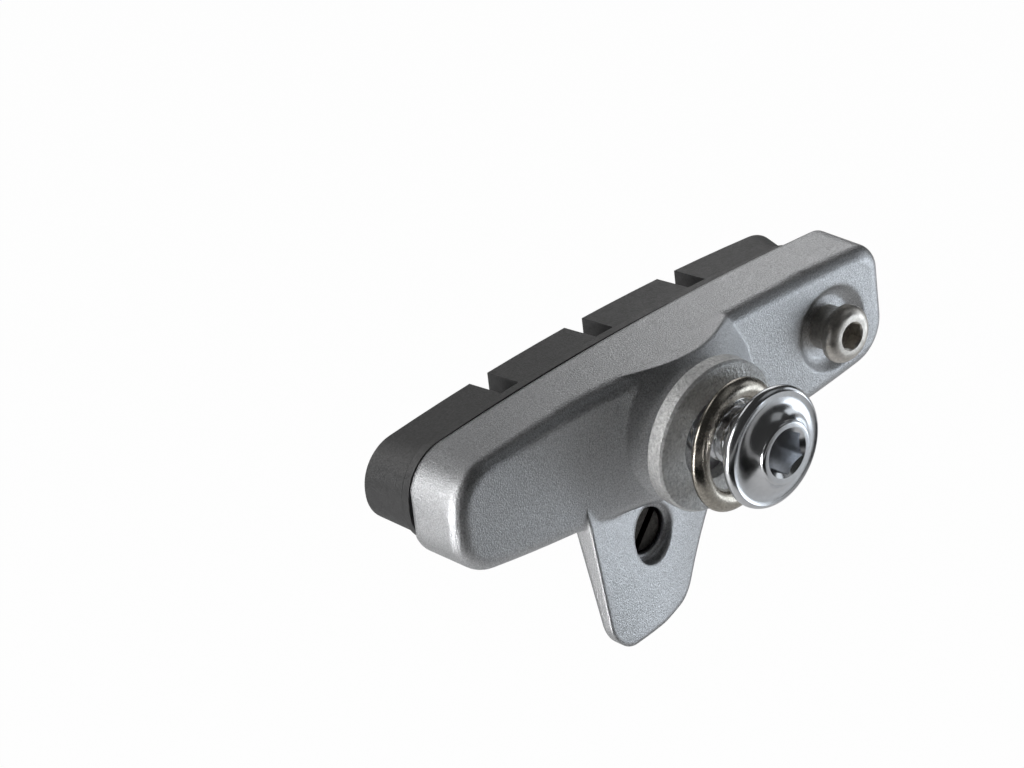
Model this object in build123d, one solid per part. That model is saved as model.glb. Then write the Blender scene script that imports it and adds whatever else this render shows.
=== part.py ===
"""Cartridge brake shoe for a road bicycle's caliper brake: cast holder, rubber pad and fixings.

Millimetres. +X runs along the rim towards the holder's open end, +Y points at the rim,
+Z is up. The origin lies on the mounting bolt's axis, where the brake arm is clamped
against the seat washer.
"""
from build123d import *
from math import asin, cos, degrees, radians, sin, sqrt
import os

# the replaceable pad sets the length of the shoe
pad_length = 55.0
pad_left = -28.2        # braking face, closed end, from the bolt
pad_right = pad_left + pad_length

# depths along Y
rim_y = 11.4            # edge of the holder, where the pad comes out
pad_face_y = 17.7       # braking face
ledge_gap = 0.3         # daylight between the holder's edge and the pad's ledge
ledge_depth = 0.9       # thickness of the pad's ledge
back_y = 4.6            # flat back of the holder

# the shoe follows the rim: radius of a bend, and where it is highest, from the bolt
holder_bend = (320.0, 4.5)
pad_bend = (250.0, 1.5)

# holder outline
holder_left = pad_left - 0.3    # closed end
holder_right = pad_right + 1.1  # open end, at the back
holder_top = 6.95       # above the bolt axis
holder_bottom = -7.6    # deepest, below the bolt
bottom_x = -3.0         # where it is deepest
bottom_left = -5.0      # lower side at the closed end
bottom_right = -5.4     # and at the open end
closed_corner_r = 4.8
open_corner_r = 3.0     # upper corner of the open end
open_low_corner_r = 4.4
back_round = 1.45       # round between the back and the sides
lip_edge = 0.35         # small slant on the edge beside the pad
# rounds of the ends towards the rim, seen from above: how far back, over which depth
closed_round = ((0.29, 0.71), (1.0, 1.0))
open_round = ((1.0, 3.6), (2.4, 4.5))

# pad channel in the holder
wall = 1.9              # holder wall beside the pad
lip = 1.1               # how far the edge reaches over the pad's foot
lip_thick = 1.3
floor_y = 7.6           # bottom of the channel
fit = 0.12              # clearance of the pad's foot
channel_drop = 0.9      # the channel reaches this far below the ledge
channel_corner_r = 3.6
pocket_fit = 0.2        # room round the retaining screw's tip in the pad

# pad
pad_top = 5.6           # at the braking face
pad_bottom = -2.95
pad_corner_r = 4.1
root_left = pad_left + 0.2      # root of the end blocks
root_right = pad_right - 1.9
root_grow = 0.45        # the blocks are this much taller at their root
ledge_left = pad_left + 0.05
ledge_right = pad_right - 1.2
ledge_top = 6.55
ledge_bottom = -3.8
slot_w = 2.3
slot_pitch = 12.4
slot_floor_y = 12.9
slot_floor_r = 0.7
groove_w = 0.3
groove_depth = 0.3
groove_end = 1.1        # the groove stops this far from a block's end

# boss and spherical seat
seat_r = 16.0           # sphere shared by the boss and the seat washer
boss_edge_r = 6.2
boss_edge_y = 2.0
flank_r = 9.9           # where the boss's flank meets the back
flare_start = (6.6, 3.1)        # radius and depth of the flare inside the boss
flare_end_r = 16.0      # and where it runs out on the back
boss_inset = 0.05       # the boss ends this far inside the holder's outline
play = 0.03             # running gap on the spherical seat
hang_gap = 0.02         # air between the bolt and a washer that rests on it

# bolt, standard M6 with a 4 mm hexagon socket
bolt_d = 6.0
thread_end_y = 7.4
thread_lead = 0.4       # slant at the end of the thread
hex_af = 4.0
hex_depth = 3.2
hex_lead = (0.45, 0.4)  # slant round the socket's mouth
# outline of the head, (radius, depth) from its collar to the shank
collar_y = -9.05
head_collar = ((2.85, collar_y), (3.15, -8.7))
head_sweep = (3.77, -7.95)      # middle of the hollow in front of the rim
head_rim_front = (5.5, -7.6)
head_rim = (5.95, -7.0)         # widest place
head_rim_back = (5.6, -6.38)
head_under = ((5.05, -6.45), (3.55, -6.25))
bead_1 = (3.95, -5.6)           # crest of the wide bead
bead_gap = (3.5, -5.12)
bead_2 = (3.6, -4.75)           # crest of the narrow bead
bead_end = (3.3, -4.3)
shank_start = -4.2

# washers
washer_bore = 8.6
seat_washer_d = 15.1
seat_washer_t = 1.9
seat_washer_edge = 0.25
dish_d = 12.9
dish_rim_t = 0.7
dish_y = -2.6           # front edge of the dish washer
dish_depth = 0.75       # how hollow it is
dish_bow = 0.3          # how far its middle lies in front of its edge
dish_edge = 0.35        # width of its rounded rim
dish_lean = 7.6         # degrees, the loose washer leans a little

# screw that keeps the pad in
keep_x = holder_right - 7.4
keep_z = -0.3
keep_front_y = 1.95     # outer face of its head
keep_head_d = 5.8
keep_head_t = 1.4
keep_dome_w = 1.1       # width and height of the head's round
keep_dome_h = 0.85
keep_neck_d = 4.4       # under the head
keep_under = 0.45       # slant under the head
keep_lead = 0.3         # slant at the screw's end
keep_hex_lead = 0.15    # and round the socket's mouth
keep_shank_d = 3.0
keep_tip_y = 9.3        # end of the screw, in the pad's foot
keep_hex_af = 2.5
keep_hex_depth = 1.5
recess_r = 4.4          # round hollow in the holder round its head
recess_floor_r = 3.2
recess_depth = 0.9

# wheel guide fin
fin_left = -13.1
fin_right = 9.8
fin_root_z = -4.0
fin_foot_z = -20.0
fin_foot_x = -5.5       # where the foot is lowest
fin_heel_z = -19.55     # corner below the upright left edge
fin_toe = (-1.1, -19.7)         # corner below the slanting right edge
fin_tip_z = -7.4        # where the right edge meets the holder
fin_heel_r = 3.0
fin_sole_r = 12.0
fin_toe_r = 4.0
fin_x = (-17.0, -13.1, -5.0, 4.0, 13.0)         # places along the fin
fin_root_front = (3.5, 4.7, 6.6, 7.2, 7.6)      # depths of its outer side there, at the root
fin_foot_front = (2.2, 2.3, 3.75, 6.9, 10.2)    # and at the foot
fin_root_t = 2.7        # thickness at the root
fin_foot_t = 0.9        # and at the foot

# cross bore in the fin's root and its screw
bore_x = -4.5
bore_z = -11.4
bore_d = 4.8
cup_d = 6.5             # wide end on the rim side
cup_wall = 0.6
cup_face_y = 9.9
cup_depth = 1.9
spot_r = 2.9            # flat ring around the bore on the outer side
spot_depth = 0.9
plug_d = 4.6
plug_head_d = 5.9
plug_head_t = 1.1
plug_recess = 0.4       # how deep the slotted end lies below the flat ring
plug_slot_w = 0.8
plug_slot_depth = 0.9
plug_slot_turn = 39.6   # degrees from upright
plug_edge = 0.25        # slant round its slotted end
plug_head_edge = 0.15

x_dir = (1, 0, 0)


def plan_at(y):
    """Drawing plane across the shoe at depth y; drawing x is X and drawing y is Z."""
    return Plane(origin=(0, y, 0), x_dir=x_dir, z_dir=(0, -1, 0))


def height(x, z, bend):
    """Height at x of a line that follows the bend and lies at z where the bend is highest."""
    radius = bend[0] + z
    return sqrt(radius * radius - (x - bend[1]) ** 2) - bend[0]


def bent_line(x0, x1, z, bend):
    middle = (x0 + x1) / 2
    return ThreePointArc((x0, height(x0, z, bend)), (middle, height(middle, z, bend)),
                         (x1, height(x1, z, bend)))


def bent_bar(x0, x1, z0, z1, round_left, round_right, bend=pad_bend):
    """Outline bounded above and below by lines that follow the bend."""
    upper = bent_line(x0, x1, z1, bend)
    lower = bent_line(x0, x1, z0, bend)
    left = Line(lower @ 0, upper @ 0)
    right = Line(lower @ 1, upper @ 1)
    face = make_face([upper, lower, left, right])
    if round_left:
        face = fillet(face.vertices().sort_by(Axis.X)[:2], round_left)
    if round_right:
        face = fillet(face.vertices().sort_by(Axis.X)[-2:], round_right)
    return face


def rounded(face, corner, radius):
    """Outline with the corner nearest to the given place rounded."""
    return fillet(face.vertices().sort_by_distance((corner[0], corner[1], 0))[:1], radius)


def arc_points(start, middle, end, count):
    """Places along an arc, for a round that is built of short straight steps."""
    arc = ThreePointArc(start, middle, end)
    return [((arc @ (k / count)).X, (arc @ (k / count)).Y) for k in range(1, count)]


def holder_outline(grow=0.0):
    """Bent top, boat shaped bottom and well rounded ends."""
    x0 = holder_left - grow
    x1 = holder_right + grow
    upper = bent_line(x0, x1, holder_top + grow, holder_bend)
    lower = ThreePointArc((x0, bottom_left - grow), (bottom_x, holder_bottom - grow),
                          (x1, bottom_right - grow))
    left = Line(lower @ 0, upper @ 0)
    right = Line(lower @ 1, upper @ 1)
    face = make_face([upper, lower, left, right])
    face = fillet(face.vertices().sort_by(Axis.X)[:2], closed_corner_r + grow)
    face = fillet(face.vertices().sort_by(Axis.X)[-2:].sort_by(Axis.Y)[-1:], open_corner_r + grow)
    return fillet(face.vertices().sort_by(Axis.Y)[:3].sort_by(Axis.X)[-1:], open_low_corner_r + grow)


def prism(face, y0, y1):
    """Body between depths y0 and y1 with the given outline."""
    return extrude(plan_at(y1) * face, amount=y1 - y0)


def turned(points):
    """Body of revolution about the bolt axis from (radius, y) points."""
    outline = Polyline(*[(r, y, 0) for r, y in points], close=True)
    return revolve(make_face(outline), axis=Axis.Y, revolution_arc=360)


def sag(radius, r):
    """Depth of a sphere's cap at distance r from its axis."""
    return radius - sqrt(radius * radius - r * r)


seat_apex_y = boss_edge_y - sag(seat_r, boss_edge_r)
seat_centre_y = seat_apex_y + seat_r


def boss():
    """Round boss with a domed seat and a slightly hollow flank."""
    flank_y = back_y + wall / 6
    dome = ThreePointArc((0, seat_apex_y),
                         (boss_edge_r / 2, seat_apex_y + sag(seat_r, boss_edge_r / 2)),
                         (boss_edge_r, boss_edge_y))
    side = Polyline((boss_edge_r, boss_edge_y), (flank_r, flank_y), (flank_r, floor_y), (0, floor_y),
                    (0, seat_apex_y))
    return revolve(make_face([dome, side]), axis=Axis.Y, revolution_arc=360)


def flare():
    """Trumpet shaped sweep from the boss down to the closed end's flat back."""
    end = (flare_end_r, back_y)
    top = TangentArc(end, flare_start, tangent=(-1, 0))
    side = Polyline(end, (flare_end_r, floor_y), (0, floor_y), (0, flare_start[1]), flare_start)
    return revolve(make_face([top, side]), axis=Axis.Y, revolution_arc=360)


def half_space(side):
    """Everything on the closed end's side (-1) or the open end's side (1) of the bolt axis."""
    return Pos(side * pad_length, 0, 0) * Box(2 * pad_length, pad_length, pad_length)


def between(places, values, x):
    """Value at x, read along straight lines between the places."""
    for k in range(len(places) - 2):
        if x < places[k + 1]:
            break
    share = (x - places[k]) / (places[k + 1] - places[k])
    return values[k] + share * (values[k + 1] - values[k])


def fin_front_y(x, z):
    """Depth of the fin's outer side at a place on it."""
    t = (fin_root_z - z) / (fin_root_z - fin_foot_z)
    return between(fin_x, fin_root_front, x) * (1 - t) + between(fin_x, fin_foot_front, x) * t


def fin_strip(z, depths, thick):
    """The fin's curved section at height z."""
    front = Spline(*[(x, y) for x, y in zip(fin_x, depths)])
    back = Spline(*[(x, y + thick) for x, y in zip(fin_x, depths)])
    left = Line(front @ 0, back @ 0)
    right = Line(front @ 1, back @ 1)
    return Plane(origin=(0, 0, z)) * make_face([front, back, left, right])


def fin_outline():
    """Side view of the fin: upright left edge, rounded foot, slanting right edge."""
    top_z = fin_root_z + wall / 4
    heel = (fin_left, fin_heel_z)
    foot_low = (fin_foot_x, fin_foot_z)
    face = make_face(Polyline((fin_left, top_z), heel, foot_low, fin_toe, (fin_right, fin_tip_z),
                              (fin_right, top_z), close=True))
    face = rounded(face, heel, fin_heel_r)
    face = rounded(face, foot_low, fin_sole_r)
    return rounded(face, fin_toe, fin_toe_r)


def fin():
    """Warped plate that leans out at its foot and gets thinner there."""
    slab = loft([fin_strip(fin_root_z + 1, fin_root_front, fin_root_t),
                 fin_strip(fin_foot_z - 0.5, fin_foot_front, fin_foot_t)], ruled=True)
    return slab & prism(fin_outline(), 0, cup_face_y + fin_root_t)


def channel():
    """Room for the pad's foot: narrow at the edge, wider behind, open at the +X end."""
    x0 = holder_left + wall
    x1 = holder_right + 4
    low = ledge_bottom - channel_drop
    high = holder_top - wall
    inner = bent_bar(x0, x1, low, high, channel_corner_r, 0.5, holder_bend)
    mouth = bent_bar(x0 + lip, x1, low + lip, high - lip, channel_corner_r - 0.7, 0.5, holder_bend)
    return (prism(inner, floor_y, rim_y - lip_thick) +
            prism(mouth, rim_y - lip_thick, rim_y + 1))


def end_cut(x, side, falls):
    """Rounds an end off towards the rim, seen from above; side is -1 or 1."""
    (back_1, depth_1), (back_2, depth_2) = falls
    start = (x, rim_y - depth_2)
    middle = (x - side * back_1, start[1] + depth_1)
    stop = (x - side * back_2, rim_y)
    bow_1 = TangentArc(start, middle, tangent=(0, 1))
    bow_2 = TangentArc(middle, stop, tangent=bow_1 % 1)
    far = x + side * wall
    rest = Polyline(stop, (stop[0], pad_face_y), (far, pad_face_y), (far, start[1]), start)
    body = extrude(make_face([bow_1, bow_2, rest]), amount=2 * holder_top)
    return body + mirror(body, about=Plane.XY)


def bored(x, z, points):
    """Round cut or body about an axis parallel to the bolt's."""
    return Pos(x, 0, z) * turned(points)


def open_half():
    """The holder's body towards the open end, with a flat back."""
    body = prism(holder_outline(), back_y, rim_y)
    body = fillet(body.faces().sort_by(Axis.Y)[0].edges(), back_round)
    return body & half_space(1)


def closed_half():
    """The holder's body towards the closed end, whose back sweeps up to the boss."""
    outline = holder_outline()
    body = prism(outline, back_y, rim_y) + (flare() & prism(outline, 0, rim_y))
    body &= Pos(wall, 0, 0) * half_space(-1)
    corner_z = holder_top / 2

    def on_wall(edge):
        c = edge.center()
        at_side = abs(c.Z) > corner_z or c.X < holder_left + 0.1
        return c.Y < back_y + 0.05 and at_side and c.X < wall - 0.1

    body = fillet(body.edges().filter_by(on_wall), back_round)
    return body & half_space(-1)


def shell():
    """The holder's boat shaped body before the boss, fin and channel."""
    body = open_half() + closed_half()
    return chamfer(body.faces().sort_by(Axis.Y)[-1].edges(), lip_edge)


def holder():
    """Cast holder: body, boss with its flare, fin with the cup, pad channel and holes."""
    body = shell() - end_cut(holder_left, -1, closed_round) - end_cut(holder_right, 1, open_round)
    body += boss() & prism(holder_outline(-boss_inset), 0, rim_y - lip_thick)
    cup_r = cup_d / 2
    wall_r = cup_r + cup_wall
    front = bore_front_y()
    spot_y = front + spot_depth
    seat = cup_face_y - cup_depth
    hub = bored(bore_x, bore_z, [(0, front + 0.5), (cup_r, front + 0.5), (wall_r, front + 1.4),
                                 (wall_r, cup_face_y), (0, cup_face_y)])
    body += fin() + hub
    body -= channel()
    body -= bored(bore_x, bore_z, [(0, 0), (spot_r, 0), (spot_r, spot_y), (bore_d / 2, spot_y),
                                   (bore_d / 2, seat), (cup_r, seat), (cup_r, pad_face_y), (0, pad_face_y)])
    body -= turned([(0, 0), (bolt_d / 2, 0), (bolt_d / 2, floor_y + 1), (0, floor_y + 1)])
    deep = back_y + recess_depth
    bowl = [(0, 0), (recess_r, 0), (recess_r, back_y), (recess_floor_r + 0.5, back_y + recess_depth * 0.7),
            (recess_floor_r, deep), (keep_shank_d / 2, deep), (keep_shank_d / 2, floor_y + 1),
            (0, floor_y + 1)]
    return body - bored(keep_x, keep_z, bowl)


def bore_front_y():
    return fin_front_y(bore_x, bore_z)


def pad():
    """Rubber insert: four blocks on a ledge, and the foot that slides into the channel."""
    face = bent_bar(pad_left, pad_right, pad_bottom, pad_top, pad_corner_r, pad_corner_r)
    root = bent_bar(root_left, root_right, pad_bottom - root_grow, pad_top + root_grow,
                      pad_corner_r + 0.3, pad_corner_r + 0.3)
    ledge_y0 = rim_y + ledge_gap
    ledge_y1 = ledge_y0 + ledge_depth
    blocks = loft([plan_at(ledge_y1) * root, plan_at(pad_face_y) * face], ruled=True)
    ledge = prism(bent_bar(ledge_left, ledge_right, ledge_bottom, ledge_top, pad_corner_r + 0.6,
                             pad_corner_r + 0.6), ledge_y0, ledge_y1)
    middle = (pad_left + pad_right) / 2
    depth = pad_face_y - slot_floor_y
    for k in (-1, 0, 1):
        slot = Box(slot_w, 2 * depth, 4 * pad_top)
        slot = fillet(slot.edges().filter_by(Axis.Z).sort_by(Axis.Y)[:2], slot_floor_r)
        blocks -= Pos(middle + k * slot_pitch, pad_face_y, 0) * slot
    groove_z = pad_top + root_grow
    half = (slot_pitch - slot_w) / 2 - groove_end
    for k in (-1.5, -0.5, 0.5, 1.5):
        x = middle + k * slot_pitch
        line = bent_bar(x - half, x + half, groove_z, groove_z + groove_w, 0, 0)
        ledge -= prism(line, ledge_y1 - groove_depth, ledge_y1 + 1)
    body = blocks + ledge + foot()
    pocket = keep_shank_d / 2 + pocket_fit
    return body - bored(keep_x, keep_z, [(0, 0), (pocket, 0), (pocket, keep_tip_y + pocket_fit),
                                         (0, keep_tip_y + pocket_fit)])


def foot():
    """The part of the pad inside the holder, with the fit clearance all round."""
    x0 = holder_left + wall + fit
    low = ledge_bottom - channel_drop + fit
    high = holder_top - wall - fit
    wide = bent_bar(x0, holder_right + 2, low, high, channel_corner_r - fit, 1.0, holder_bend)
    narrow = bent_bar(x0 + lip, holder_right + 2, low + lip, high - lip, channel_corner_r - 0.7 - fit,
                      1.0, holder_bend)
    body = prism(wide, floor_y + fit, rim_y - lip_thick - fit)
    body += prism(narrow, floor_y + 1, rim_y + ledge_gap + 0.2)
    inset = ledge_gap
    end = Pos(-inset, 0, 0) * end_cut(holder_right, 1, open_round)
    return body & (prism(holder_outline(-inset), floor_y, 2 * rim_y) - end)


def hexagon(across, y0, y1):
    """Hexagon socket body between two depths."""
    face = RegularPolygon(across / 2, 6, major_radius=False)
    return prism(face, y0, y1)


def bolt():
    """Socket screw with a wide rounded flange and two beads under it."""
    r = bolt_d / 2
    points = [(0, collar_y), *head_collar]
    points += arc_points(head_collar[-1], head_sweep, head_rim_front, 2)
    points += [head_rim_front]
    points += arc_points(head_rim_front, head_rim, head_rim_back, 2)
    points += [head_rim_back, *head_under]
    points += arc_points(head_under[-1], bead_1, bead_gap, 2)
    points += [bead_gap]
    points += arc_points(bead_gap, bead_2, bead_end, 2)
    points += [bead_end, (r, shank_start), (r, thread_end_y - thread_lead),
               (r - thread_lead, thread_end_y), (0, thread_end_y)]
    mouth = hex_af / 2
    wide, deep = hex_lead
    socket = hexagon(hex_af, collar_y - 1, collar_y + hex_depth)
    lead = turned([(0, collar_y - deep), (mouth + 2 * wide, collar_y - deep), (mouth, collar_y + deep),
                   (0, collar_y + deep)])
    return turned(points) - socket - lead


def seat_washer_flat():
    """Washer with a spherical cup, square on the bolt axis."""
    cup_radius = seat_r + play
    bore = washer_bore / 2
    ring_r = sqrt(cup_radius ** 2 - (seat_centre_y - seat_washer_t) ** 2)
    at_bore = seat_centre_y - sqrt(cup_radius ** 2 - bore ** 2)
    mid = (bore + ring_r) / 2
    out = seat_washer_d / 2
    edge = seat_washer_edge
    cup = ThreePointArc((bore, at_bore), (mid, seat_centre_y - sqrt(cup_radius ** 2 - mid ** 2)),
                        (ring_r, seat_washer_t))
    side = Polyline((ring_r, seat_washer_t), (out - edge, seat_washer_t), (out, seat_washer_t - edge),
                    (out, edge), (out - edge, 0), (bore, 0), (bore, at_bore))
    return revolve(make_face([cup, side]), axis=Axis.Y, revolution_arc=360)


def droop_angle():
    """Turn about the sphere's centre at which the washer's bore rests on the bolt."""
    bore = washer_bore / 2
    rest = bolt_d / 2 + hang_gap
    a = 0.0
    for step in range(20):
        a = asin((bore * cos(a) - rest) / seat_centre_y)
    return degrees(a)


def seat_washer():
    """Seat washer as it hangs: turned on its seat until its bore rests on the bolt."""
    centre = Pos(0, seat_centre_y, 0)
    return centre * Rot(X=droop_angle()) * centre.inverse() * seat_washer_flat()


def dish_washer():
    """Thin hollow washer lying on the bolt, hollow side to the head, leaning a little."""
    bore = washer_bore / 2
    out = dish_d / 2
    t = dish_rim_t
    bow_r = (bore + out) / 2
    flat = out - dish_edge
    points = [(bore, dish_depth), (bow_r, dish_bow), (flat, 0), (out, t * 0.3), (out, t * 0.7), (flat, t),
              (bow_r, dish_bow + t), (bore, dish_depth + t)]
    low = bolt_d / 2 + hang_gap - bore
    return Pos(0, dish_y, low) * Rot(Z=dish_lean) * turned(points)


def keeper():
    """Button screw that keeps the pad from sliding out of the open end."""
    head = keep_head_d / 2
    shank = keep_shank_d / 2
    neck = keep_neck_d / 2
    floor = back_y + recess_depth
    top = keep_front_y
    dome_start = (head - keep_dome_w, top)
    dome_middle = (head - 0.32 * keep_dome_w, top + 0.34 * keep_dome_h)
    dome_end = (head, top + keep_dome_h)
    points = [(0, top), dome_start, *arc_points(dome_start, dome_middle, dome_end, 3), dome_end,
              (head, top + keep_head_t), (neck, top + keep_head_t + keep_under), (neck, floor),
              (shank, floor), (shank, keep_tip_y - keep_lead), (shank - keep_lead, keep_tip_y),
              (0, keep_tip_y)]
    body = turned(points)
    body -= hexagon(keep_hex_af, top - 1, top + keep_hex_depth)
    mouth = keep_hex_af / 2 / cos(radians(30))
    in_by = keep_hex_lead
    body -= turned([(0, top - in_by), (mouth + in_by, top - in_by), (mouth - in_by, top + in_by),
                    (0, top + in_by)])
    return Pos(keep_x, 0, keep_z) * body


def slotted_screw():
    """Slotted screw in the fin's cross bore, its wide head in the cup on the rim side."""
    seat = cup_face_y - cup_depth
    start = bore_front_y() + spot_depth + plug_recess
    r = plug_d / 2
    head = plug_head_d / 2
    back = seat + plug_head_t
    body = turned([(0, start), (r - plug_edge, start), (r, start + plug_edge), (r, seat), (head, seat),
                   (head, back - plug_head_edge), (head - plug_head_edge, back), (0, back)])
    cut = Pos(0, start, 0) * Box(plug_slot_w, 2 * plug_slot_depth, 2 * plug_d)
    body -= Rot(Y=plug_slot_turn) * cut
    return Pos(bore_x, 0, bore_z) * body


def main():
    os.makedirs("parts", exist_ok=True)
    export_step(holder(), "parts/shoe_holder.step")
    export_step(pad(), "parts/brake_pad.step")
    export_step(bolt(), "parts/mounting_bolt.step")
    export_step(seat_washer(), "parts/seat_washer.step")
    export_step(dish_washer(), "parts/dish_washer.step")
    export_step(keeper(), "parts/pad_retaining_screw.step")
    export_step(slotted_screw(), "parts/slotted_screw.step")


if __name__ == "__main__":
    main()
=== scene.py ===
"""Looks of a road bicycle's cartridge brake shoe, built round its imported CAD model.

Metres, in the CAD frame: +X along the rim, +Y towards the rim, +Z up, origin on the bolt axis.
"""
import math

import bmesh
import bpy
from mathutils import Matrix, Vector


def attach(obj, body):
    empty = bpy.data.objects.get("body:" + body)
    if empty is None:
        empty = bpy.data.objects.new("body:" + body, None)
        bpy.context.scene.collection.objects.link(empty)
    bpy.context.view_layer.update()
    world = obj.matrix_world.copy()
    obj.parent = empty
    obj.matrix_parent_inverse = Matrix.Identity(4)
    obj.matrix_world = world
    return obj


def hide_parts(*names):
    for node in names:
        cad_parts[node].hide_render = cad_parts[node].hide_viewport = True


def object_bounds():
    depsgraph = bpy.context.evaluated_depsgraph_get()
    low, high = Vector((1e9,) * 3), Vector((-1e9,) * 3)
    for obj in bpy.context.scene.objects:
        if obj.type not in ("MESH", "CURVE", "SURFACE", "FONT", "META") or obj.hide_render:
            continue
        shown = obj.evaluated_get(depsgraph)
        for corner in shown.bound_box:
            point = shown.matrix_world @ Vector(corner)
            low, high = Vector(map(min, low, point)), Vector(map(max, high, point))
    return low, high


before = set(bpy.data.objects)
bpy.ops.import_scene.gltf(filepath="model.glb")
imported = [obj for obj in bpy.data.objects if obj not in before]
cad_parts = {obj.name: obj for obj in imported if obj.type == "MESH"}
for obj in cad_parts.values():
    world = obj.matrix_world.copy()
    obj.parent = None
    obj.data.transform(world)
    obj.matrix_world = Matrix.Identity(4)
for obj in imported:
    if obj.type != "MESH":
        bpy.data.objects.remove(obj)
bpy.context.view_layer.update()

MM = 0.001

# holder's paint, between the hollows and the crests of its grain
PAINT_DARK = (0.44, 0.445, 0.455)
PAINT_LIGHT = (0.76, 0.767, 0.78)

# camera, fitted to the photograph
CAMERA_PLACE = Vector((-272.0, -292.2, 219.6)) * MM
CAMERA_TURN = -40.309       # degrees from looking along +Y, towards +X
CAMERA_DOWN = 28.082        # degrees below the horizon
CAMERA_ROLL = -6.825
CAMERA_LENS = 172.73        # on a 36 mm sensor

# bolt: radii and depths in mm, and (radius, depth) places of its head, as in the CAD source
COLLAR_R = 3.15
COLLAR_Y = -9.05
COLLAR_ROUND = 0.32
COLLAR_BULGE = 0.09             # from the sharp corner to the middle of its round
HEAD_SHOULDER = (3.17, -8.7)
HEAD_SWEEP = (3.77, -7.95)      # middle of the hollow in front of the rim
HEAD_RIM_FRONT = (5.5, -7.6)
HEAD_RIM = (5.95, -7.0)         # widest place
HEAD_RIM_BACK = (5.6, -6.38)
HEAD_UNDER = ((5.05, -6.45), (4.45, -6.4), (3.55, -6.25))
BEAD_1 = (3.95, -5.6)           # crest of the wide bead
BEAD_GAP = (3.5, -5.12)
BEAD_2 = (3.6, -4.75)           # crest of the narrow bead
BEAD_END = (3.3, -4.3)
SHANK_R = 3.0
SHANK_START_Y = -4.2
SOCKET_ACROSS = 4.0
SOCKET_DEPTH = 3.2
SOCKET_LEAD = (0.45, 0.4)       # width and depth of the slant round its mouth

# rolled thread, left out of the CAD
THREAD_ROOT_R = 2.47
THREAD_PITCH = 1.0
THREAD_END_Y = 7.4
THREAD_FADE = 0.5               # length over which it runs out
THREAD_FLANK = 4.4              # steepness of its flanks
THREAD_ROOT_FLAT = 0.6          # more leaves a wider flat at the root

# dish washer
DISH_BORE_R = 4.3
DISH_R = 6.45
DISH_THICK = 0.7
DISH_CREST = 0.5                # its front is well rounded, this far in front of its rim
DISH_CREST_IN = 0.85            # from the bore to the crest
DISH_EDGE = 0.15                # round of its rim and slant of its bore
DISH_PLACE = Vector((0, -2.6, -1.28))
DISH_LEAN = 7.6                 # degrees

# pad retaining screw
KEEP_PLACE = Vector((20.5, 0, -0.3))
KEEP_FRONT_Y = 1.95
KEEP_HEAD_R = 2.9
KEEP_HEAD_T = 1.4
KEEP_HEAD_EDGE = (0.07, 0.1)    # blunted back edge of the head
KEEP_DOME_W = 1.1               # width and height of the head's round
KEEP_DOME_H = 0.85
KEEP_UNDER = 0.45               # slant under the head
KEEP_NECK_R = 2.2
KEEP_NECK_END_Y = 5.5
KEEP_SHANK_R = 1.5
KEEP_TIP_Y = 9.3
KEEP_TIP_LEAD = 0.3
KEEP_SOCKET_ACROSS = 2.5
KEEP_SOCKET_DEPTH = 1.5
KEEP_SOCKET_LEAD = (0.22, 0.2)

SCREW_BARE_Y = (7.6, 7.9)       # the slotted screw turns from black to bare between these depths

ROUND_STEPS = 144               # segments round a turned piece
THREAD_STEPS = 12               # rows per turn of the thread
SHARP_ANGLE = 32.0              # degrees, edges of turned pieces above this stay crisp

# studio
FLOOR_DROP = 55.0 * MM          # the photograph shows the shoe floating over its ground
FLOOR_HALF = 3.0                # half its side, in metres
FLOOR_SEEN = 0.985              # how strongly the camera sees its white; the rest holds the shadow
FLOOR_IN_METAL = 0.2            # how strongly metal shows the white ground


def new_material(name, metallic, roughness):
    """Empty principled material; returns it with its node tree and its shader."""
    mat = bpy.data.materials.new(name)
    mat.use_nodes = True
    shader = mat.node_tree.nodes["Principled BSDF"]
    shader.inputs["Metallic"].default_value = metallic
    shader.inputs["Roughness"].default_value = roughness
    return mat, mat.node_tree, shader


def noise(tree, scale, detail=2.0, roughness=0.5):
    """Noise that stays on the piece; scale is in bumps per metre."""
    place = tree.nodes.new("ShaderNodeTexCoord")
    tex = tree.nodes.new("ShaderNodeTexNoise")
    tex.inputs["Scale"].default_value = scale
    tex.inputs["Detail"].default_value = detail
    tex.inputs["Roughness"].default_value = roughness
    tree.links.new(place.outputs["Object"], tex.inputs["Vector"])
    return tex.outputs["Fac"]


def ramp(tree, value, stops):
    """Colour ramp from (place, colour) stops; a colour is a grey level or an RGB triple."""
    node = tree.nodes.new("ShaderNodeValToRGB")
    points = node.color_ramp.elements
    while len(points) < len(stops):
        points.new(0.5)
    for point, (place, colour) in zip(points, stops):
        rgb = (colour,) * 3 if isinstance(colour, float) else colour
        point.position = place
        point.color = (*rgb, 1.0)
    tree.links.new(value, node.inputs["Fac"])
    return node.outputs["Color"]


def vary(tree, target, value, low, high):
    """Lets a shader input follow a 0 to 1 value between two (place, colour) stops."""
    tree.links.new(ramp(tree, value, [low, high]), target)


def bump(tree, shader, height, distance, strength=1.0, edge=0.0):
    """Fine relief from a height signal, over edges softened by a radius; both in mm."""
    node = tree.nodes.new("ShaderNodeBump")
    node.inputs["Strength"].default_value = strength
    node.inputs["Distance"].default_value = distance * MM
    tree.links.new(height, node.inputs["Height"])
    if edge:
        soft = tree.nodes.new("ShaderNodeBevel")
        soft.samples = 8
        soft.inputs["Radius"].default_value = edge * MM
        tree.links.new(soft.outputs["Normal"], node.inputs["Normal"])
    tree.links.new(node.outputs["Normal"], shader.inputs["Normal"])


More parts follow.
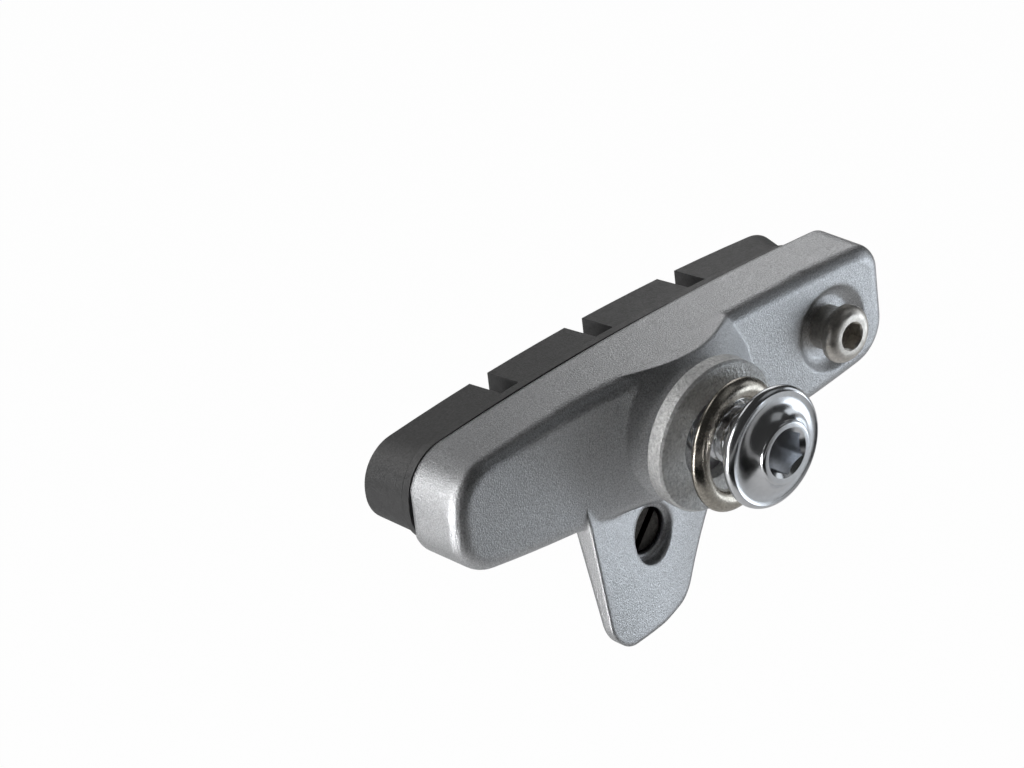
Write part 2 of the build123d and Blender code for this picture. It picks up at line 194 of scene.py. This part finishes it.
def along(tree, axis, low, high):
    """0 below low and 1 above high along a CAD axis; both in mm."""
    place = tree.nodes.new("ShaderNodeTexCoord")
    split = tree.nodes.new("ShaderNodeSeparateXYZ")
    tree.links.new(place.outputs["Object"], split.inputs[0])
    share = tree.nodes.new("ShaderNodeMapRange")
    share.inputs["From Min"].default_value = low * MM
    share.inputs["From Max"].default_value = high * MM
    tree.links.new(split.outputs[axis], share.inputs["Value"])
    return share.outputs["Result"]


def facing_up(tree):
    """1 on faces that look up, 0 on the others."""
    place = tree.nodes.new("ShaderNodeTexCoord")
    split = tree.nodes.new("ShaderNodeSeparateXYZ")
    tree.links.new(place.outputs["Normal"], split.inputs[0])
    share = tree.nodes.new("ShaderNodeMapRange")
    share.inputs["From Min"].default_value = 0.55
    share.inputs["From Max"].default_value = 0.8
    tree.links.new(split.outputs["Z"], share.inputs["Value"])
    return share.outputs["Result"]


def mixed(tree, share, first, second):
    """Colour that goes from first to second with the share."""
    node = tree.nodes.new("ShaderNodeMix")
    node.data_type = "RGBA"
    tree.links.new(share, node.inputs["Factor"])
    tree.links.new(first, node.inputs["A"])
    tree.links.new(second, node.inputs["B"])
    return node.outputs["Result"]


def silver_paint():
    """Satin silver paint with a fine metallic grain."""
    mat, tree, shader = new_material("silver_paint", 1.0, 0.45)
    grain = noise(tree, scale=6800.0, detail=2.0, roughness=0.7)
    cloud = noise(tree, scale=900.0)
    vary(tree, shader.inputs["Base Color"], grain, (0.34, PAINT_DARK), (0.68, PAINT_LIGHT))
    vary(tree, shader.inputs["Roughness"], cloud, (0.3, 0.33), (0.7, 0.38))
    bump(tree, shader, grain, distance=0.06, strength=0.9, edge=0.6)
    return mat


def rubber():
    """Charcoal brake rubber with a slightly rough moulded skin; its upper faces are painted lighter
    than its sides, as painted light and shade.
    """
    mat, tree, shader = new_material("brake_rubber", 0.0, 0.5)
    shader.inputs["Specular IOR Level"].default_value = 0.8
    grain = noise(tree, scale=4200.0, detail=3.0, roughness=0.65)
    cloud = noise(tree, scale=1300.0)
    # painted light and shade: faces that look up get a far lighter charcoal than the sides
    side = ramp(tree, grain, [(0.3, (0.008, 0.008, 0.0083)), (0.75, (0.021, 0.021, 0.0215))])
    painted_light_top = ramp(tree, grain, [(0.3, (0.088, 0.087, 0.087)), (0.75, (0.155, 0.154, 0.153))])
    tree.links.new(mixed(tree, facing_up(tree), side, painted_light_top), shader.inputs["Base Color"])
    vary(tree, shader.inputs["Roughness"], cloud, (0.3, 0.4), (0.7, 0.52))
    bump(tree, shader, grain, distance=0.045, strength=0.8, edge=0.12)
    return mat


def metal(name, dark, light, roughness, scale, relief, strength=0.5, edge=0.0, metallic=1.0):
    """Bare metal whose tone and gloss vary a little; relief and edge in mm."""
    mat, tree, shader = new_material(name, metallic, roughness)
    grain = noise(tree, scale, detail=3.0, roughness=0.6)
    cloud = noise(tree, scale * 0.35)
    vary(tree, shader.inputs["Base Color"], grain, (0.3, dark), (0.7, light))
    vary(tree, shader.inputs["Roughness"], cloud, (0.3, roughness * 0.75), (0.7, roughness * 1.3))
    bump(tree, shader, grain, relief, strength, edge)
    return mat


def screw_metal():
    """Blackened outside, bare bronze-brown steel towards the rim."""
    mat, tree, shader = new_material("slotted_steel", 1.0, 0.34)
    grain = noise(tree, scale=3000.0, detail=3.0, roughness=0.6)
    cloud = noise(tree, scale=1100.0)
    black = ramp(tree, grain, [(0.3, (0.030, 0.028, 0.026)), (0.7, (0.085, 0.078, 0.070))])
    brown = ramp(tree, grain, [(0.3, (0.17, 0.145, 0.12)), (0.7, (0.33, 0.285, 0.24))])
    bare = along(tree, "Y", *SCREW_BARE_Y)
    tree.links.new(mixed(tree, bare, black, brown), shader.inputs["Base Color"])
    vary(tree, shader.inputs["Roughness"], cloud, (0.3, 0.26), (0.7, 0.42))
    bump(tree, shader, grain, distance=0.01, strength=0.5, edge=0.1)
    return mat


def arc(a, b, c, count):
    """Points on the arc from a over b to c, without a itself."""
    (ax, ay), (bx, by), (cx, cy) = a, b, c
    aa, bb, cc = ax * ax + ay * ay, bx * bx + by * by, cx * cx + cy * cy
    d = 2 * (ax * (by - cy) + bx * (cy - ay) + cx * (ay - by))
    ux = (aa * (by - cy) + bb * (cy - ay) + cc * (ay - by)) / d
    uy = (aa * (cx - bx) + bb * (ax - cx) + cc * (bx - ax)) / d
    radius = math.hypot(ax - ux, ay - uy)
    start, middle, end = (math.atan2(y - uy, x - ux) for x, y in (a, b, c))
    turn = (end - start) % math.tau
    if (middle - start) % math.tau > turn:
        turn -= math.tau
    angles = [start + turn * k / count for k in range(1, count + 1)]
    return [(ux + radius * math.cos(angle), uy + radius * math.sin(angle)) for angle in angles]


def head_profile():
    """(radius, y) down the bolt's head, from the edge of its end face to the shank."""
    face_edge = (COLLAR_R - COLLAR_ROUND, COLLAR_Y)
    bulge = (COLLAR_R - COLLAR_BULGE, COLLAR_Y + COLLAR_BULGE)
    side_edge = (COLLAR_R, COLLAR_Y + COLLAR_ROUND)
    return ([face_edge]
            + arc(face_edge, bulge, side_edge, 6)
            + [HEAD_SHOULDER]
            + arc(HEAD_SHOULDER, HEAD_SWEEP, HEAD_RIM_FRONT, 24)
            + arc(HEAD_RIM_FRONT, HEAD_RIM, HEAD_RIM_BACK, 16)
            + [*HEAD_UNDER]
            + arc(HEAD_UNDER[-1], BEAD_1, BEAD_GAP, 14)
            + arc(BEAD_GAP, BEAD_2, BEAD_END, 12)
            + [(SHANK_R, SHANK_START_Y)])


def thread_radius(y, turn):
    """Radius of the threaded shank at depth y and a share of a turn."""
    phase = (y / THREAD_PITCH - turn) % 1.0
    height = min(1.0, max(0.0, THREAD_FLANK * abs(phase - 0.5) - THREAD_ROOT_FLAT))
    fade = min(1.0, (THREAD_END_Y - y) / THREAD_FADE)
    return THREAD_ROOT_R * (1 - height * fade) + SHANK_R * height * fade


def lathe(name, rows, ring=False):
    """Mesh about the Y axis; a row is (y, radius) or (y, function of the share of a turn)."""
    bm = bmesh.new()
    rings = []
    for y, radius in rows:
        line = []
        for k in range(ROUND_STEPS):
            share = k / ROUND_STEPS
            r = radius(share) if callable(radius) else radius
            a = math.tau * share
            line.append(bm.verts.new((r * math.cos(a) * MM, y * MM, r * math.sin(a) * MM)))
        rings.append(line)
    pairs = list(zip(rings, rings[1:]))
    if ring:
        pairs.append((rings[-1], rings[0]))
    for lower, upper in pairs:
        for k in range(ROUND_STEPS):
            n = (k + 1) % ROUND_STEPS
            bm.faces.new((lower[k], lower[n], upper[n], upper[k]))
    if not ring:
        bm.faces.new(rings[0][::-1])
        bm.faces.new(rings[-1])
    bmesh.ops.recalc_face_normals(bm, faces=bm.faces)
    return mesh_object(name, bm)


def mesh_object(name, bm):
    """Object in the scene with the mesh that bm holds."""
    mesh = bpy.data.meshes.new(name)
    bm.to_mesh(mesh)
    bm.free()
    obj = bpy.data.objects.new(name, mesh)
    bpy.context.scene.collection.objects.link(obj)
    return obj


def socket_cutter(across, y0, y1):
    """Hexagon body about the Y axis between two depths."""
    bm = bmesh.new()
    r = across / 2 / math.cos(math.pi / 6) * MM
    long = (y1 - y0) * MM
    made = bmesh.ops.create_cone(bm, cap_ends=True, segments=6, radius1=r, radius2=r, depth=long)
    middle = Matrix.Translation((0, (y0 + y1) / 2 * MM, 0))
    place = middle @ Matrix.Rotation(math.radians(90), 4, "X")
    bmesh.ops.transform(bm, matrix=place, verts=made["verts"])
    return mesh_object("socket_cutter", bm)


def lead_in_cutter(across, y, wide, deep):
    """Cone that slants the socket's mouth."""
    mouth = across / 2
    return lathe("lead_in_cutter", [(y - deep, mouth + 2 * wide), (y + deep, mouth)])


def cut_socket(obj, across, y, depth, lead):
    """Cuts a hexagon socket with a slanted mouth into the end of obj at y."""
    cut_away(obj, socket_cutter(across, y - 1, y + depth))
    cut_away(obj, lead_in_cutter(across, y, *lead))


def cut_away(obj, cutter):
    """Subtracts cutter from obj for good and removes it."""
    mod = obj.modifiers.new("cut", "BOOLEAN")
    mod.operation = "DIFFERENCE"
    mod.solver = "EXACT"
    mod.object = cutter
    bpy.context.view_layer.update()
    evaluated = obj.evaluated_get(bpy.context.evaluated_depsgraph_get())
    mesh = bpy.data.meshes.new_from_object(evaluated)
    obj.modifiers.remove(mod)
    old = obj.data
    obj.data = mesh
    bpy.data.meshes.remove(old)
    bpy.data.objects.remove(cutter)


def mounting_bolt():
    """Chromed socket bolt with its rolled thread; stands for the plain CAD bolt."""
    rows = [(y, r) for r, y in head_profile()]
    y = rows[-1][0]
    step = THREAD_PITCH / THREAD_STEPS
    while y + step < THREAD_END_Y:
        y += step
        rows.append((y, lambda turn, y=y: thread_radius(y, turn)))
    rows.append((THREAD_END_Y, THREAD_ROOT_R))
    bolt = lathe("bolt_threaded", rows)
    cut_socket(bolt, SOCKET_ACROSS, COLLAR_Y, SOCKET_DEPTH, SOCKET_LEAD)
    return stands_for(bolt, "mounting_bolt", "shoe")


def stands_for(obj, node, body):
    """Smooth piece shown in place of a CAD node."""
    obj.data.shade_smooth()
    obj.data.set_sharp_from_angle(angle=math.radians(SHARP_ANGLE))
    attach(obj, body)
    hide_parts(node)
    return obj


def dish_washer():
    """Washer with a well rounded front, leaning on the bolt."""
    t = DISH_THICK
    edge = DISH_EDGE
    bore_front = (DISH_BORE_R, t / 2)
    crest = (DISH_BORE_R + DISH_CREST_IN, -DISH_CREST)
    rim_front = (DISH_R - edge, 0)
    front = [bore_front] + arc(bore_front, crest, rim_front, 22)
    rim = arc(rim_front, (DISH_R, t / 2), (DISH_R - edge, t), 8)
    back = [(DISH_BORE_R + edge, t), (DISH_BORE_R, t - edge)]
    washer = lathe("dish_turned", [(y, r) for r, y in front + rim + back], ring=True)
    lean = Matrix.Rotation(math.radians(DISH_LEAN), 4, "Z")
    washer.data.transform(Matrix.Translation(DISH_PLACE * MM) @ lean)
    return stands_for(washer, "dish_washer", "dish_ring")


def retaining_screw():
    """Button screw with a well rounded head."""
    y = KEEP_FRONT_Y
    r = KEEP_HEAD_R
    back = y + KEEP_HEAD_T
    edge_in, edge_deep = KEEP_HEAD_EDGE
    dome_start = (r - KEEP_DOME_W, y)
    dome_middle = (r - 0.32 * KEEP_DOME_W, y + 0.34 * KEEP_DOME_H)
    rows = [dome_start] + arc(dome_start, dome_middle, (r, y + KEEP_DOME_H), 12)
    rows += [(r, back - edge_deep), (r - edge_in, back), (KEEP_NECK_R, back + KEEP_UNDER),
             (KEEP_NECK_R, KEEP_NECK_END_Y), (KEEP_SHANK_R, KEEP_NECK_END_Y),
             (KEEP_SHANK_R, KEEP_TIP_Y - KEEP_TIP_LEAD), (KEEP_SHANK_R - KEEP_TIP_LEAD, KEEP_TIP_Y)]
    screw = lathe("screw_button", [(b, a) for a, b in rows])
    cut_socket(screw, KEEP_SOCKET_ACROSS, y, KEEP_SOCKET_DEPTH, KEEP_SOCKET_LEAD)
    screw.data.transform(Matrix.Translation(KEEP_PLACE * MM))
    return stands_for(screw, "pad_retaining_screw", "shoe")


def paint(obj, mat):
    """Gives every face of obj this material."""
    if not obj.data.materials:
        obj.data.materials.append(mat)
    for slot in obj.material_slots:
        slot.material = mat


def softbox(name, azimuth, elevation, distance, width, height, power, tone):
    """Rectangular lamp that faces the part; azimuth 0 is in front of the bolt, 90 at the +X end."""
    data = bpy.data.lights.new(name, "AREA")
    data.shape = "RECTANGLE"
    data.size = width
    data.size_y = height
    data.energy = power
    data.color = tone
    lamp = bpy.data.objects.new(name, data)
    lamp.visible_camera = False
    bpy.context.scene.collection.objects.link(lamp)
    a, e = math.radians(azimuth), math.radians(elevation)
    away = Vector((math.sin(a) * math.cos(e), -math.cos(a) * math.cos(e), math.sin(e)))
    lamp.location = away * distance
    lamp.rotation_mode = "QUATERNION"
    lamp.rotation_quaternion = away.to_track_quat("Z", "Y")


def seen_directly(tree, camera_share, metal_share):
    """Share of the glow for the camera, and for reflections and see-through surfaces; else 0."""
    path = tree.nodes.new("ShaderNodeLightPath")
    either = tree.nodes.new("ShaderNodeMath")
    either.operation = "MAXIMUM"
    tree.links.new(path.outputs["Is Glossy Ray"], either.inputs[0])
    tree.links.new(path.outputs["Is Transmission Ray"], either.inputs[1])
    shares = []
    for source, share in ((path.outputs["Is Camera Ray"], camera_share),
                          (either.outputs[0], metal_share)):
        node = tree.nodes.new("ShaderNodeMath")
        node.operation = "MULTIPLY"
        node.inputs[1].default_value = share
        tree.links.new(source, node.inputs[0])
        shares.append(node.outputs[0])
    both = tree.nodes.new("ShaderNodeMath")
    both.operation = "MAXIMUM"
    tree.links.new(shares[0], both.inputs[0])
    tree.links.new(shares[1], both.inputs[1])
    return both.outputs[0]


def studio_world(level):
    """Faint even light from all round."""
    world = bpy.data.worlds.new("studio")
    bpy.context.scene.world = world
    world.use_nodes = True
    tree = world.node_tree
    back = tree.nodes["Background"]
    back.inputs["Color"].default_value = (1, 1, 1, 1)
    back.inputs["Strength"].default_value = level


def flat_sheet(name, corners, mat):
    """Part of the studio: one flat sheet."""
    mesh = bpy.data.meshes.new(name)
    mesh.from_pydata(corners, [], [(0, 1, 2, 3)])
    sheet = bpy.data.objects.new(name, mesh)
    bpy.context.scene.collection.objects.link(sheet)
    mesh.materials.append(mat)
    return sheet


def floor_plane(z):
    """Pale floor under the part that keeps its shadow; z in metres."""
    mat, tree, shader = new_material("floor_white", 0.0, 0.9)
    shader.inputs["Base Color"].default_value = (0.9, 0.9, 0.9, 1)
    glow = tree.nodes.new("ShaderNodeEmission")
    glow.inputs["Strength"].default_value = 1.0
    mix = tree.nodes.new("ShaderNodeMixShader")
    tree.links.new(seen_directly(tree, FLOOR_SEEN, FLOOR_IN_METAL), mix.inputs["Fac"])
    tree.links.new(shader.outputs[0], mix.inputs[1])
    tree.links.new(glow.outputs[0], mix.inputs[2])
    tree.links.new(mix.outputs[0], tree.nodes["Material Output"].inputs["Surface"])
    signs = ((-1, -1), (1, -1), (1, 1), (-1, 1))
    flat_sheet("floor", [(x * FLOOR_HALF, y * FLOOR_HALF, z) for x, y in signs], mat)


def black_card(name, azimuth, reach, wide, deep, z):
    """Black sheet on the floor, out of the camera's sight, that metal reflects; in metres."""
    mat, tree, shader = new_material(name, 0.0, 1.0)
    shader.inputs["Base Color"].default_value = (0.004, 0.004, 0.004, 1)
    a = math.radians(azimuth)
    out = Vector((math.sin(a), -math.cos(a), 0))
    across = Vector((math.cos(a), math.sin(a), 0))
    corners = []
    for along_it, side in ((0, -1), (0, 1), (1, 1), (1, -1)):
        place = out * (reach + along_it * deep) + across * side * wide / 2
        corners.append((place.x, place.y, z))
    flat_sheet(name, corners, mat).visible_camera = False


def camera():
    """Camera of the photograph."""
    data = bpy.data.cameras.new("camera")
    data.sensor_width = 36.0
    data.lens = CAMERA_LENS
    data.clip_start = 0.01
    cam = bpy.data.objects.new("camera", data)
    bpy.context.scene.collection.objects.link(cam)
    turn = Matrix.Rotation(math.radians(CAMERA_TURN), 4, "Z")
    down = Matrix.Rotation(math.radians(90 - CAMERA_DOWN), 4, "X")
    roll = Matrix.Rotation(math.radians(CAMERA_ROLL), 4, "Z")
    cam.matrix_world = Matrix.Translation(CAMERA_PLACE) @ turn @ down @ roll
    bpy.context.scene.camera = cam


def dress():
    """Gives every node its material, and three of them their smooth stand-ins."""
    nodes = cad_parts
    chrome = metal("chrome", (0.76, 0.77, 0.79), (0.84, 0.85, 0.87),
                   roughness=0.2, scale=1500.0, relief=0.002)
    dish_steel = metal("dish_steel", (0.36, 0.33, 0.29), (0.60, 0.56, 0.49),
                       roughness=0.24, scale=3500.0, relief=0.008)
    blasted = metal("blasted_metal", (0.62, 0.62, 0.615), (0.98, 0.98, 0.97),
                    roughness=0.46, scale=3200.0, relief=0.13, strength=1.0, edge=0.15,
                    metallic=0.55)
    nickel = metal("nickel", (0.60, 0.57, 0.53), (0.86, 0.82, 0.76),
                   roughness=0.38, scale=3200.0, relief=0.008)
    paint(nodes["shoe_holder"], silver_paint())
    paint(nodes["brake_pad"], rubber())
    paint(mounting_bolt(), chrome)
    paint(dish_washer(), dish_steel)
    paint(nodes["seat_washer"], blasted)
    paint(retaining_screw(), nickel)
    paint(nodes["slotted_screw"], screw_metal())


WORLD_LEVEL = 0.03
# name, azimuth and elevation in degrees, distance, width and height in metres, watts, tone
LAMPS = [
    ("right_back", 126, 28, 0.13, 0.07, 0.06, 0.0105, (1.0, 1.0, 1.0)),
    ("back_far", 137, 30, 0.25, 0.15, 0.10, 0.022, (1.0, 1.0, 1.0)),
    ("front_near", 60, -15, 0.15, 0.08, 0.06, 0.031, (0.84, 0.92, 1.0)),
    ("front_far", 75, 5, 0.40, 0.15, 0.20, 0.08, (0.90, 0.95, 1.0)),
    ("front_up", 51, 40, 0.40, 0.20, 0.20, 0.03, (0.95, 0.98, 1.0)),
    ("left_low", -122, -22, 0.20, 0.16, 0.07, 0.02, (1.0, 1.0, 1.0)),
    ("left_strip", -95, -14, 0.20, 0.03, 0.14, 0.23, (1.0, 1.0, 1.0)),
    ("left_high", -117, 22, 0.25, 0.10, 0.15, 0.2, (1.0, 1.0, 1.0)),
    ("back_high", -172, 52, 0.30, 0.15, 0.10, 0.05, (1.0, 1.0, 1.0)),
]

dress()
floor_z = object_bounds()[0].z - FLOOR_DROP
floor_plane(floor_z)
black_card("front_card", azimuth=-27, reach=0.075, wide=0.36, deep=0.3, z=floor_z + MM)
camera()
studio_world(WORLD_LEVEL)
for lamp in LAMPS:
    softbox(*lamp)

view = bpy.context.scene.view_settings
view.view_transform = "Standard"
